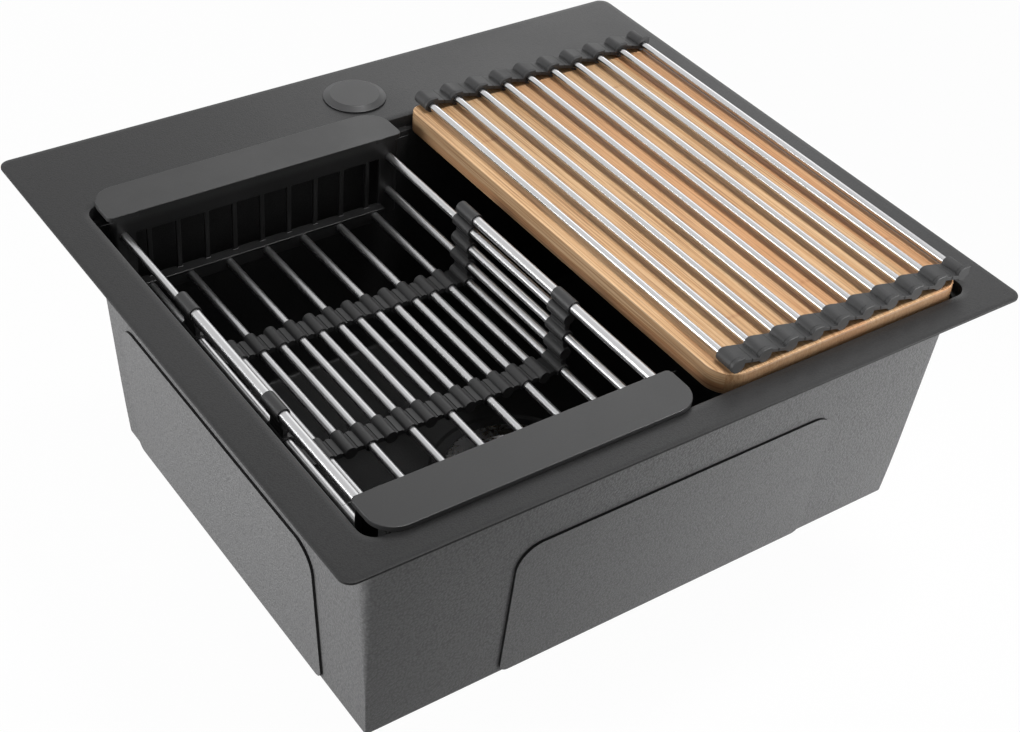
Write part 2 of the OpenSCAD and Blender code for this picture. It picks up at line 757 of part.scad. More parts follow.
// A web to the next sleeve; its top runs from one sleeve's crest down to the next one's foot,
// and its end face lies on the line where the mat folds
module sleeve_web(side, y0) {
    reach = fold_x - web_gap / 2;
    top = fold_z + side * web_fall * web_gap / 2;
    near = side > 0 ? [sleeve_r * cos(crest), sleeve_r * sin(crest)] : [0, fold_z - web_fall * fold_x];
    under = [0, fold_z + side * web_fall * fold_x - web_t];
    translate([0, y0 + sleeve_len, 0]) rotate([90, 0, 0]) linear_extrude(sleeve_len)
        polygon([near, [side * reach, top], [side * reach, top - web_t], under]);
}

// One rubber sleeve round a rod's end; its lip is at the end that faces the front
module sleeve(i, y0, closed_front) {
    rod_y0 = closed_front ? y0 + sleeve_end : y0 - cut;
    rod_y1 = closed_front ? y0 + sleeve_len + cut : y0 + sleeve_len - sleeve_end;
    color(rubber) translate([mat_x(i), 0, mat_z]) difference() {
        union() {
            rod_along_y(0, 0, y0, y0 + sleeve_len, sleeve_r);
            intersection() {
                rod_along_y(0, 0, y0, y0 + lip_len, sleeve_r + lip_h);
                translate([-2 * sleeve_r, y0 - cut, -sleeve_r / 2])
                    cube([4 * sleeve_r, lip_len + 2 * cut, 2 * sleeve_r]);
            }
            translate([0, y0, 0]) cube([lip_reach, lip_len, sleeve_r + lip_h]);
            if (i > 1) sleeve_web(-1, y0);
            if (i < mat_rod_count) sleeve_web(1, y0);
        }
        rod_along_y(0, 0, rod_y0, rod_y1, mat_rod_r + socket_fit);
    }
}

module mat_sleeves(i) {
    sleeve(i, mat_y0, true);
    sleeve(i, mat_y1 - sleeve_len, false);
}

deck();
bowl();
pad_front();
pad_rear();
pad_left();
pad_right();
pad_floor();
tap_hole_cover();
tap_hole_seal();
tap_hole_washer();
tap_hole_nut();
waste_flange();
waste_upper_gasket();
waste_lower_gasket();
waste_body();
waste_outlet_pipe();
waste_screw();
strainer_basket();
strainer_knob();
strainer_seal();
basket_end_front();
basket_rods_front();
basket_tube_left();
basket_tube_right();
basket_strip_rear();
basket_end_rear();
basket_rods_rear();
basket_strip_front();
cutting_board();
mat_rod(1);  // mat_rod_01
mat_rod(2);  // mat_rod_02
mat_rod(3);  // mat_rod_03
mat_rod(4);  // mat_rod_04
mat_rod(5);  // mat_rod_05
mat_rod(6);  // mat_rod_06
mat_rod(7);  // mat_rod_07
mat_rod(8);  // mat_rod_08
mat_rod(9);  // mat_rod_09
mat_rod(10);  // mat_rod_10
mat_sleeves(1);  // mat_sleeves_01
mat_sleeves(2);  // mat_sleeves_02
mat_sleeves(3);  // mat_sleeves_03
mat_sleeves(4);  // mat_sleeves_04
mat_sleeves(5);  // mat_sleeves_05
mat_sleeves(6);  // mat_sleeves_06
mat_sleeves(7);  // mat_sleeves_07
mat_sleeves(8);  // mat_sleeves_08
mat_sleeves(9);  // mat_sleeves_09
mat_sleeves(10);  // mat_sleeves_10
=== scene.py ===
import bpy
import math
from mathutils import Matrix, Vector


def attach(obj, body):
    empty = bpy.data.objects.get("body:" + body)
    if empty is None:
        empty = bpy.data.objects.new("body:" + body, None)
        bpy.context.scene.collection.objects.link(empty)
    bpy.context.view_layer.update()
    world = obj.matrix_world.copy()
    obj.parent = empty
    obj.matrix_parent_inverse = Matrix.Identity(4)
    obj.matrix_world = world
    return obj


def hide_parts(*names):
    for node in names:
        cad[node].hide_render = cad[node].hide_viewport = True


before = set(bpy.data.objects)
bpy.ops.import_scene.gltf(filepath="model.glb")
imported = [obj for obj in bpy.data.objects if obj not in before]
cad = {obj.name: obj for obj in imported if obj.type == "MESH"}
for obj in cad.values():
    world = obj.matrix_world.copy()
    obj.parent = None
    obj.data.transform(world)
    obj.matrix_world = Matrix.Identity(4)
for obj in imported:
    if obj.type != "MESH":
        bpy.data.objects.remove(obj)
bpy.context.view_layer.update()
mm = 0.001
print("frame loaded,", len(cad), "nodes")

# the camera that took the photograph, fitted to the edges of the deck and the bowl
cameraValues = {
    "azimuth": -37.972,      # degrees, 0 looks along +Y
    "elevation": 38.853,
    "roll": 5.242,
    "target": (-0.03941, -0.07394, -0.058),
    "distance": 1.28802,
    "lens": 64.126,          # millimetres, on a sensor of this width
    "sensor": 36,
    "clip": (0.05, 30),
}


def makeCamera(values):
    az, el, roll = (math.radians(values[k]) for k in ("azimuth", "elevation", "roll"))
    back = Vector((math.sin(az) * math.cos(el), -math.cos(az) * math.cos(el), math.sin(el)))
    right = Vector((math.cos(az), math.sin(az), 0))
    up = back.cross(right)
    x = right * math.cos(roll) + up * math.sin(roll)
    y = up * math.cos(roll) - right * math.sin(roll)
    data = bpy.data.cameras.new("photoCamera")
    data.lens = values["lens"]
    data.sensor_width = values["sensor"]
    data.clip_start, data.clip_end = values["clip"]
    camera = bpy.data.objects.new("photoCamera", data)
    bpy.context.scene.collection.objects.link(camera)
    place = Matrix.Translation(Vector(values["target"]) + back * values["distance"])
    camera.matrix_world = place @ Matrix((x, y, back)).transposed().to_4x4()
    bpy.context.scene.camera = camera


makeCamera(cameraValues)
print("camera placed")


# mesh helpers; lengths are in millimetres
def newPiece(name, vertices, faces, materials, body, stands, smoothAngle=30):
    mesh = bpy.data.meshes.new(name)
    mesh.from_pydata([Vector(v) * mm for v in vertices], [], faces)
    mesh.validate()
    piece = bpy.data.objects.new(name, mesh)
    bpy.context.scene.collection.objects.link(piece)
    for material in materials:
        mesh.materials.append(material)
    mesh.shade_smooth()
    mesh.set_sharp_from_angle(angle=math.radians(smoothAngle))
    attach(piece, body)
    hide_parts(*stands)
    return piece


def roundedRing(x0, x1, y0, y1, r, z, cornerSteps=8, sideSteps=15):
    # one closed ring of a rounded rectangle, the same count of points at every size
    centres = [(x1 - r, y0 + r, -90), (x1 - r, y1 - r, 0), (x0 + r, y1 - r, 90), (x0 + r, y0 + r, 180)]
    corners = []
    for cx, cy, start in centres:
        corners.append([(cx + r * math.cos(math.radians(start + 90 * i / cornerSteps)),
                         cy + r * math.sin(math.radians(start + 90 * i / cornerSteps)), z)
                        for i in range(cornerSteps + 1)])
    ring = []
    for i, corner in enumerate(corners):
        after = corners[(i + 1) % 4][0]
        ring += corner
        last = corner[-1]
        for s in range(1, sideSteps + 1):
            t = s / (sideSteps + 1)
            ring.append((last[0] + (after[0] - last[0]) * t, last[1] + (after[1] - last[1]) * t, z))
    return ring


def circleRing(cx, cy, r, z, count, start=-45):
    # starts at the same corner as a rounded ring
    angles = [math.radians(start + 360 * i / count) for i in range(count)]
    return [(cx + r * math.cos(a), cy + r * math.sin(a), z) for a in angles]


def loft(rings):
    # joins each ring to the next one, and the last to the first
    count = len(rings[0])
    vertices = [v for ring in rings for v in ring]
    faces = []
    for a in range(len(rings)):
        b = (a + 1) % len(rings)
        for i in range(count):
            j = (i + 1) % count
            faces.append((b * count + i, b * count + j, a * count + j, a * count + i))
    return vertices, faces


# shader helpers
class Tree:
    # a short way to build a node tree; every call returns the node or its socket
    def __init__(self, tree):
        self.tree = tree

    def node(self, kind, inputs=None, **settings):
        made = self.tree.nodes.new(kind)
        for key, value in settings.items():
            setattr(made, key, value)
        for key, value in (inputs or {}).items():
            self.feed(made.inputs[key], value)
        return made

    def feed(self, socket, value):
        if isinstance(value, bpy.types.NodeSocket):
            self.tree.links.new(value, socket)
        elif isinstance(value, bpy.types.Node):
            self.tree.links.new(value.outputs[0], socket)
        else:
            socket.default_value = value

    def math(self, operation, a, b=0.0, c=0.0):
        made = self.node("ShaderNodeMath", operation=operation)
        for socket, value in zip(made.inputs, (a, b, c)):
            self.feed(socket, value)
        return made.outputs[0]

    def vector(self, operation, a, b=(0, 0, 0)):
        made = self.node("ShaderNodeVectorMath", operation=operation)
        self.feed(made.inputs[0], a)
        if operation == "SCALE":
            self.feed(made.inputs["Scale"], b)
        else:
            self.feed(made.inputs[1], b)
        return made.outputs[0]

    def range(self, value, low, high, toLow=0.0, toHigh=1.0, smooth=False):
        made = self.node("ShaderNodeMapRange", {"Value": value, "From Min": low, "From Max": high,
                                                "To Min": toLow, "To Max": toHigh})
        if smooth:
            made.interpolation_type = "SMOOTHSTEP"
        return made.outputs["Result"]

    def mix(self, factor, a, b):
        made = self.node("ShaderNodeMix", data_type="RGBA")
        self.feed(made.inputs[0], factor)
        self.feed(made.inputs[6], a)
        self.feed(made.inputs[7], b)
        return made.outputs[2]

    def noise(self, vector, scale, detail=2.0, roughness=0.5):
        made = self.node("ShaderNodeTexNoise", {"Vector": vector, "Scale": scale, "Detail": detail,
                                                "Roughness": roughness})
        return made.outputs["Fac"]

    def bump(self, height, strength, distance):
        made = self.node("ShaderNodeBump", {"Height": height, "Strength": strength, "Distance": distance})
        return made.outputs[0]


def opaque(colour):
    return (*colour, 1)


def newGroup(name, inputs, outputs):
    tree = bpy.data.node_groups.new(name, "ShaderNodeTree")
    for label, kind, value in inputs:
        socket = tree.interface.new_socket(name=label, in_out="INPUT", socket_type="NodeSocket" + kind)
        if value is not None:
            socket.default_value = value
    for label, kind in outputs:
        tree.interface.new_socket(name=label, in_out="OUTPUT", socket_type="NodeSocket" + kind)
    t = Tree(tree)
    return t, t.node("NodeGroupInput"), t.node("NodeGroupOutput")


def newMaterial(name):
    material = bpy.data.materials.new(name)
    material.use_nodes = True
    tree = material.node_tree
    tree.nodes.clear()
    t = Tree(tree)
    shader = t.node("ShaderNodeBsdfPrincipled")
    t.node("ShaderNodeOutputMaterial", {"Surface": shader.outputs[0]})
    where = t.node("ShaderNodeTexCoord").outputs["Object"]
    return material, t, shader, where


def useGroup(t, group, inputs):
    made = t.node("ShaderNodeGroup")
    made.node_tree = group
    for key, value in inputs.items():
        t.feed(made.inputs[key], value)
    return made


# effects that several materials share
def makeGrainGroup():
    # the pebbled skin of a sprayed coat or of moulded plastic
    inputs = [("Where", "Vector", None), ("Size", "Float", 0.001), ("Mix", "Float", 0.5)]
    t, gin, gout = newGroup("pebbleGrain", inputs, [("Height", "Float"), ("Tone", "Float")])
    per = t.math("DIVIDE", 1.0, gin.outputs["Size"])
    where = gin.outputs["Where"]
    cells = t.node("ShaderNodeTexVoronoi", {"Vector": where, "Scale": per}, feature="SMOOTH_F1")
    cells.inputs["Smoothness"].default_value = 0.7
    pebbles = t.math("SUBTRACT", 1.0, cells.outputs["Distance"])
    fine = t.noise(where, t.math("MULTIPLY", per, 1.7), 3.0, 0.6)
    height = t.math("ADD", t.math("MULTIPLY", pebbles, gin.outputs["Mix"]),
                    t.math("MULTIPLY", fine, t.math("SUBTRACT", 1.0, gin.outputs["Mix"])))
    t.feed(gout.inputs["Height"], height)
    t.feed(gout.inputs["Tone"], t.range(height, 0.35, 0.75, 0.0, 1.0))
    return t.tree


def makeWearGroup():
    # large soft patches and a few small ones, where hands and cloths have been
    inputs = [("Where", "Vector", None), ("Size", "Float", 0.08)]
    t, gin, gout = newGroup("softPatches", inputs, [("Patches", "Float"), ("Specks", "Float")])
    per = t.math("DIVIDE", 1.0, gin.outputs["Size"])
    broad = t.noise(gin.outputs["Where"], per, 4.0, 0.55)
    small = t.noise(gin.outputs["Where"], t.math("MULTIPLY", per, 60.0), 2.0, 0.5)
    t.feed(gout.inputs["Patches"], t.range(broad, 0.35, 0.65, 0.0, 1.0, True))
    t.feed(gout.inputs["Specks"], t.range(small, 0.66, 0.74, 0.0, 1.0))
    return t.tree


def makeDrawnGroup():
    # fine lines left by drawing or brushing along one direction
    inputs = [("Where", "Vector", None), ("Stretch", "Vector", (1, 0.02, 1)), ("Size", "Float", 0.0004)]
    t, gin, gout = newGroup("drawnLines", inputs, [("Lines", "Float"), ("Broad", "Float")])
    per = t.math("DIVIDE", 1.0, gin.outputs["Size"])
    along = t.vector("MULTIPLY", gin.outputs["Where"], gin.outputs["Stretch"])
    t.feed(gout.inputs["Lines"], t.noise(along, per, 2.0, 0.6))
    t.feed(gout.inputs["Broad"], t.noise(along, t.math("MULTIPLY", per, 0.08), 2.0, 0.5))
    return t.tree


pebbleGrain = makeGrainGroup()
softPatches = makeWearGroup()
drawnLines = makeDrawnGroup()
print("shared effects built")


def setRoughness(t, shader, mask, low, high, values, less, more):
    # rough + more where the mask is high, rough - less where it is low
    rough = values["rough"]
    t.feed(shader.inputs["Roughness"], t.range(mask, low, high, rough - less, rough + more))


# finishes: dark, light and patch are the tones of the coat, grain is its width in metres,
# mix the share of pebbles in it, and depth the strength of its relief
def makeCoat(name, values):
    material, t, shader, where = newMaterial(name)
    grain = useGroup(t, pebbleGrain, {"Where": where, "Size": values["grain"], "Mix": values["mix"]})
    patches = useGroup(t, softPatches, {"Where": where, "Size": coatPatches["size"]}).outputs["Patches"]
    tone = t.mix(grain.outputs["Tone"], opaque(values["dark"]), opaque(values["light"]))
    tone = t.mix(t.range(patches, 0, 1, 0.0, coatPatches["share"]), tone, opaque(values["patch"]))
    t.feed(shader.inputs["Base Color"], tone)
    setRoughness(t, shader, patches, 0, 1, values, 0, coatPatches["roughen"])
    shader.inputs["Specular IOR Level"].default_value = values["gloss"]
    relief = values["grain"] * coatPatches["relief"]
    t.feed(shader.inputs["Normal"], t.bump(grain.outputs["Height"], values["depth"], relief))
    return material


coatPatches = {
    "size": 0.11,
    "share": 0.22,           # how far a patch goes to its own tone
    "roughen": 0.07,
    "relief": 0.35,          # height of the grain over its width
}
coatValues = {
    "deck": {
        "dark": (0.02, 0.02, 0.0205), "light": (0.034, 0.034, 0.0345), "patch": (0.03, 0.03, 0.031),
        "grain": 0.001, "rough": 0.32, "gloss": 0.26, "depth": 0.35, "mix": 0.5,
    },
    # painted shade: a darker copy of the deck's coat for the inside of the bowl, standing in for the shade
    # down in it
    "inside": {
        "dark": (0.014, 0.014, 0.0143), "light": (0.025, 0.025, 0.0255),
        "patch": (0.022, 0.022, 0.0225), "grain": 0.001, "rough": 0.42, "gloss": 0.26,
        "depth": 0.35, "mix": 0.5,
    },
    # painted shade: a near-black copy of the coat for the deck's rim edge, its underside and the lip, and
    # for the pads' sides, standing in for the shade under the deck and round the pads
    "edge": {
        "dark": (0.008, 0.008, 0.008), "light": (0.014, 0.014, 0.014),
        "patch": (0.012, 0.012, 0.012), "grain": 0.001, "rough": 0.5, "gloss": 0.2, "depth": 0.3,
        "mix": 0.5,
    },
    "outside": {
        "dark": (0.07, 0.07, 0.071), "light": (0.12, 0.12, 0.121), "patch": (0.101, 0.101, 0.103),
        "grain": 0.0017, "rough": 0.58, "gloss": 0.3, "depth": 1.0, "mix": 0.6,
    },
    "pad": {
        "dark": (0.073, 0.073, 0.074), "light": (0.125, 0.125, 0.126),
        "patch": (0.106, 0.106, 0.108), "grain": 0.0015, "rough": 0.55, "gloss": 0.32, "depth": 0.8,
        "mix": 0.6,
    },
    "cover": {
        "dark": (0.036, 0.036, 0.037), "light": (0.046, 0.046, 0.047),
        "patch": (0.043, 0.043, 0.044), "grain": 0.0006, "rough": 0.38, "gloss": 0.4, "depth": 0.12,
        "mix": 0.4,
    },
}
coat = {name: makeCoat(name + "Coat", values) for name, values in coatValues.items()}


def makeMoulded(name, values):
    # moulded plastic or rubber
    material, t, shader, where = newMaterial(name)
    skin = {"Where": where, "Size": values["grain"], "Mix": mouldedSkin["mix"]}
    grain = useGroup(t, pebbleGrain, skin)
    patches = useGroup(t, softPatches, {"Where": where, "Size": values["patchSize"]})
    tone = t.mix(grain.outputs["Tone"], opaque(values["dark"]), opaque(values["light"]))
    dust = t.math("MULTIPLY", patches.outputs["Specks"], values["dust"])
    tone = t.mix(dust, tone, opaque(values["dustColour"]))
    if "below" in values:
        # painted shade: darker below the rim, down in the bowl
        top, bottom, share = values["below"]
        height = t.node("ShaderNodeSeparateXYZ", {"Vector": where}).outputs["Z"]
        tone = t.vector("SCALE", tone, t.range(height, bottom, top, share, 1.0))
    t.feed(shader.inputs["Base Color"], tone)
    worn = patches.outputs["Patches"]
    setRoughness(t, shader, worn, 0, 1, values, mouldedSkin["less"], mouldedSkin["more"])
    shader.inputs["Specular IOR Level"].default_value = values["gloss"]
    relief = values["grain"] * mouldedSkin["relief"]
    t.feed(shader.inputs["Normal"], t.bump(grain.outputs["Height"], values["depth"], relief))
    return material


mouldedSkin = {
    "mix": 0.35,
    "less": 0.05,            # the roughness varies from rough - less to rough + more
    "more": 0.06,
    "relief": 0.3,           # height of the grain over its width
}
mouldedValues = {
    "basketPlastic": {
        "dark": (0.024, 0.024, 0.0245), "light": (0.034, 0.034, 0.0345), "dust": 0.15,
        "dustColour": (0.12, 0.12, 0.12), "grain": 0.0005, "patchSize": 0.06, "rough": 0.42,
        "gloss": 0.45, "depth": 0.12,
        # painted shade on the moulding's walls below the rim
        "below": (0.001, -0.004, 0.4),    # top and bottom of the change, and the share of the tone left
    },
    "stripRubber": {
        "dark": (0.014, 0.014, 0.0145), "light": (0.022, 0.022, 0.0225), "dust": 0.2,
        "dustColour": (0.1, 0.1, 0.1), "grain": 0.0004, "patchSize": 0.03, "rough": 0.48,
        "gloss": 0.45, "depth": 0.12,
    },
    "matSilicone": {
        "dark": (0.02, 0.02, 0.0205), "light": (0.029, 0.029, 0.0295), "dust": 0.3,
        "dustColour": (0.12, 0.12, 0.12), "grain": 0.0004, "patchSize": 0.03, "rough": 0.55,
        "gloss": 0.4, "depth": 0.15,
    },
    # black rubber, made darker still to deepen the shadow line under the tap hole cover: partly painted
    # shade
    "sealRubber": {
        "dark": (0.004, 0.004, 0.004), "light": (0.008, 0.008, 0.008), "dust": 0.1,
        "dustColour": (0.08, 0.08, 0.08), "grain": 0.0005, "patchSize": 0.03, "rough": 0.6,
        "gloss": 0.35, "depth": 0.2,
    },
    "wastePlastic": {
        "dark": (0.018, 0.018, 0.019), "light": (0.03, 0.03, 0.031), "dust": 0.2,
        "dustColour": (0.1, 0.1, 0.1), "grain": 0.0008, "patchSize": 0.04, "rough": 0.5,
        "gloss": 0.4, "depth": 0.25,
    },
}
moulded = {name: makeMoulded(name, values) for name, values in mouldedValues.items()}


def makeSteel(name, values):
    material, t, shader, where = newMaterial(name)
    lines = useGroup(t, drawnLines, {"Where": where, "Stretch": values["stretch"], "Size": values["size"]})
    patches = useGroup(t, softPatches, {"Where": where, "Size": steelWear["size"]}).outputs["Patches"]
    tone = t.mix(lines.outputs["Broad"], opaque(values["dark"]), opaque(values["light"]))
    # painted reflection: a round bar gets a darker band along its middle, where it faces the camera,
    # standing in for the dark bowl it reflects
    facing = t.node("ShaderNodeLayerWeight", {"Blend": 0.5}).outputs["Facing"]
    reflectionBand = t.range(facing, 0.0, values["reflectionBand"], values["reflectionBandDepth"], 0.0, True)
    tone = t.mix(reflectionBand, tone, opaque(values["reflectionBandTone"]))
    t.feed(shader.inputs["Base Color"], tone)
    shader.inputs["Metallic"].default_value = 1.0
    rough = values["rough"]
    drawn = t.range(lines.outputs["Lines"], 0.3, 0.7, rough, rough + steelWear["drawn"])
    worn = t.math("MULTIPLY", patches, steelWear["worn"])
    t.feed(shader.inputs["Roughness"], t.math("ADD", drawn, worn))
    if values["depth"]:
        relief = t.bump(lines.outputs["Lines"], values["depth"], steelWear["relief"])
        t.feed(shader.inputs["Normal"], relief)
    return material


steelWear = {
    "size": 0.05,            # of the worn patches
    "drawn": 0.05,           # roughness added by the drawn lines
    "worn": 0.03,            # and by the patches
    "relief": 0.00004,
}
steelValues = {
    "rodSteel": {
        "dark": (0.44, 0.44, 0.445), "light": (0.57, 0.57, 0.575), "stretch": (1, 0.012, 1),
        "size": 0.0006, "rough": 0.29, "depth": 0.0, "reflectionBand": 0.3, "reflectionBandDepth": 0.25,
        "reflectionBandTone": (0.36, 0.36, 0.365),
    },
    "matSteel": {
        "dark": (0.48, 0.48, 0.485), "light": (0.61, 0.61, 0.615), "stretch": (1, 0.012, 1),
        "size": 0.0006, "rough": 0.16, "depth": 0.0, "reflectionBand": 0.24, "reflectionBandDepth": 0.8,
        "reflectionBandTone": (0.36, 0.36, 0.365),
    },
    "wasteSteel": {
        "dark": (0.55, 0.55, 0.56), "light": (0.7, 0.7, 0.71), "stretch": (0.3, 0.3, 1),
        "size": 0.0012, "rough": 0.24, "depth": 0.2, "reflectionBand": 0.1, "reflectionBandDepth": 0.0,
        "reflectionBandTone": (0.5, 0.5, 0.5),
    },
}
steel = {name: makeSteel(name, values) for name, values in steelValues.items()}


bambooValues = {
    "strip": 0.0215,              # width of one laminated strip, seen from above
    "ply": 0.006,                 # and seen from the side
    "facing": 0.7,                # how squarely a face looks to one side before it counts as that side
    "pale": (0.71, 0.475, 0.27),
    "mid": (0.55, 0.315, 0.150),
    "warm": (0.56, 0.245, 0.105),
    "deep": (0.27, 0.125, 0.055),
    "knot": (0.33, 0.13, 0.06),
    "knotSpacing": 0.34,
    "knotHalf": 0.008,            # half a knot's length, as a share of the spacing
    "seam": 0.0004,               # width of a glue line
    "gloss": 0.3,
    "rough": 0.50,
    # painted shade: the board's sides are darkened to this share of the top's tone
    "side": 0.56,                 # tone of the board's sides beside its top
    "relief": 0.00012,
}


def makeBamboo(values):
    material, t, shader, where = newMaterial("bamboo")
    x, y, z = t.node("ShaderNodeSeparateXYZ", {"Vector": where}).outputs
    normal = t.node("ShaderNodeSeparateXYZ", {"Vector": t.node("ShaderNodeNewGeometry").outputs["Normal"]})

    def colour(name):
        return opaque(values[name])

    def faces(axis):
        return t.math("GREATER_THAN", t.math("ABSOLUTE", normal.outputs[axis]), values["facing"])

    def toned(mask, low, high, fromShare, toShare, tone, name, smooth=False):
        return t.mix(t.range(mask, low, high, fromShare, toShare, smooth), tone, colour(name))

    def chanceOf(number):
        return t.node("ShaderNodeTexWhiteNoise", {"W": number}, noise_dimensions="1D").outputs["Value"]

    longSide = faces("X")
    end = faces("Y")
    top = t.math("SUBTRACT", 1.0, longSide)
    across = t.math("ADD", t.math("MULTIPLY", x, top), t.math("MULTIPLY", z, longSide))
    width = t.math("ADD", values["strip"], t.math("MULTIPLY", longSide, values["ply"] - values["strip"]))
    place = t.math("DIVIDE", across, width)
    index = t.math("FLOOR", place)
    within = t.math("SUBTRACT", place, index)
    chance = chanceOf(index)
    chance2 = chanceOf(t.math("ADD", index, 37.3))
    # every strip has its own piece of the grain
    shifted = t.node("ShaderNodeCombineXYZ", {
        "X": t.math("ADD", across, t.math("MULTIPLY", chance, 3.0)),
        "Y": t.math("ADD", y, t.math("MULTIPLY", chance2, 2.0)),
        "Z": t.math("MULTIPLY", z, 0.3)})
    fibres = t.noise(t.vector("MULTIPLY", shifted, (1, 0.008, 1)), 1000.0, 2.0, 0.6)
    streaks = t.noise(t.vector("MULTIPLY", shifted, (1, 0.014, 1)), 520.0, 3.0, 0.6)
    broad = t.noise(t.vector("MULTIPLY", shifted, (1, 0.10, 1)), 55.0, 2.0, 0.5)
    tone = toned(streaks, 0.42, 0.58, 0.0, 1.0, colour("mid"), "pale")
    # some strips are warmer than their neighbours
    tone = toned(chance2, 0.45, 0.95, 0.0, 0.55, tone, "warm", True)
    tone = toned(fibres, 0.50, 0.64, 0.0, 0.70, tone, "deep")
    tone = toned(fibres, 0.34, 0.46, 0.35, 0.0, tone, "pale")
    tone = toned(broad, 0.40, 0.75, 0.0, 0.28, tone, "pale")
    # a knot ring now and then along some strips
    along = t.math("ADD", t.math("DIVIDE", y, values["knotSpacing"]), chance2)
    along = t.math("ADD", along, t.math("MULTIPLY", t.math("SUBTRACT", streaks, 0.5), 0.016))
    along = t.math("SUBTRACT", along, t.math("FLOOR", along))
    fromKnot = t.math("ABSOLUTE", t.math("SUBTRACT", along, 0.5))
    knot = t.range(fromKnot, 0.0, values["knotHalf"], 1.0, 0.0, True)
    notOnEnds = t.math("SUBTRACT", 1.0, end)
    onSomeStrips = t.range(chance, 0.55, 0.65)
    inFibres = t.range(fibres, 0.35, 0.6, 0.2, 1.0)
    for share in (notOnEnds, onSomeStrips, inFibres):
        knot = t.math("MULTIPLY", knot, share)
    tone = t.mix(t.math("MULTIPLY", knot, 0.55), tone, colour("knot"))
    # the glue lines between strips
    seam = t.math("MULTIPLY", t.math("MINIMUM", within, t.math("SUBTRACT", 1.0, within)), width)
    seamLine = t.range(seam, 0.0, values["seam"], 1.0, 0.0)
    tone = t.mix(t.math("MULTIPLY", seamLine, 0.45), tone, colour("deep"))
    # cut ends show the fibres as dots
    dots = t.noise(t.node("ShaderNodeCombineXYZ", {"X": x, "Y": 0.0, "Z": z}), 2600.0, 1.0, 0.5)
    endTone = toned(dots, 0.45, 0.62, 0.0, 1.0, colour("mid"), "deep")
    tone = t.mix(t.math("MULTIPLY", end, 0.55), tone, endTone)
    # painted shade: the sides are darker than the top
    edgeWise = t.math("MAXIMUM", longSide, end)
    shade = t.math("SUBTRACT", 1.0, t.math("MULTIPLY", edgeWise, 1 - values["side"]))
    t.feed(shader.inputs["Base Color"], t.vector("SCALE", tone, shade))
    setRoughness(t, shader, streaks, 0.3, 0.7, values, 0.05, 0.08)
    shader.inputs["Specular IOR Level"].default_value = values["gloss"]
    height = t.math("SUBTRACT", t.math("MULTIPLY", fibres, 0.5), t.math("MULTIPLY", seamLine, 0.8))
    t.feed(shader.inputs["Normal"], t.bump(height, 0.35, values["relief"]))
    return material


bamboo = makeBamboo(bambooValues)
print("finishes built")


# the sink's shell: deck, opening, ledge and bowl in one pressing
shellValues = {
    "deck": (-280, 280, -250, 250, 9),               # x0, x1, y0, y1 and corner radius
    "opening": (-250, 250, -225, 165, 12),
    "thick": 2,
    "ledge": (2, 6, 5, -8),                          # width at sides, front and rear, and its height
    "sheet": 1.2,
    "lip": 8,                                        # width of the bowl's flange under the deck
    "fold": (8, 0.8),                                # width of the deck's folded rim, and height inside it
    "bowlCorner": (10.8, 12),                        # inside and outside radius of the bowl's corners
    "floor": -203,
    "taper": 14,
    "wallFoot": 4,                                   # radius where a wall meets the floor
    "flat": 12,                                      # level floor before the foot of a wall
    "recess": (67, 3),
    "hole": 45,
    "drain": (0, -42),
    "wallSteps": 8,
    "footSteps": 4,
}


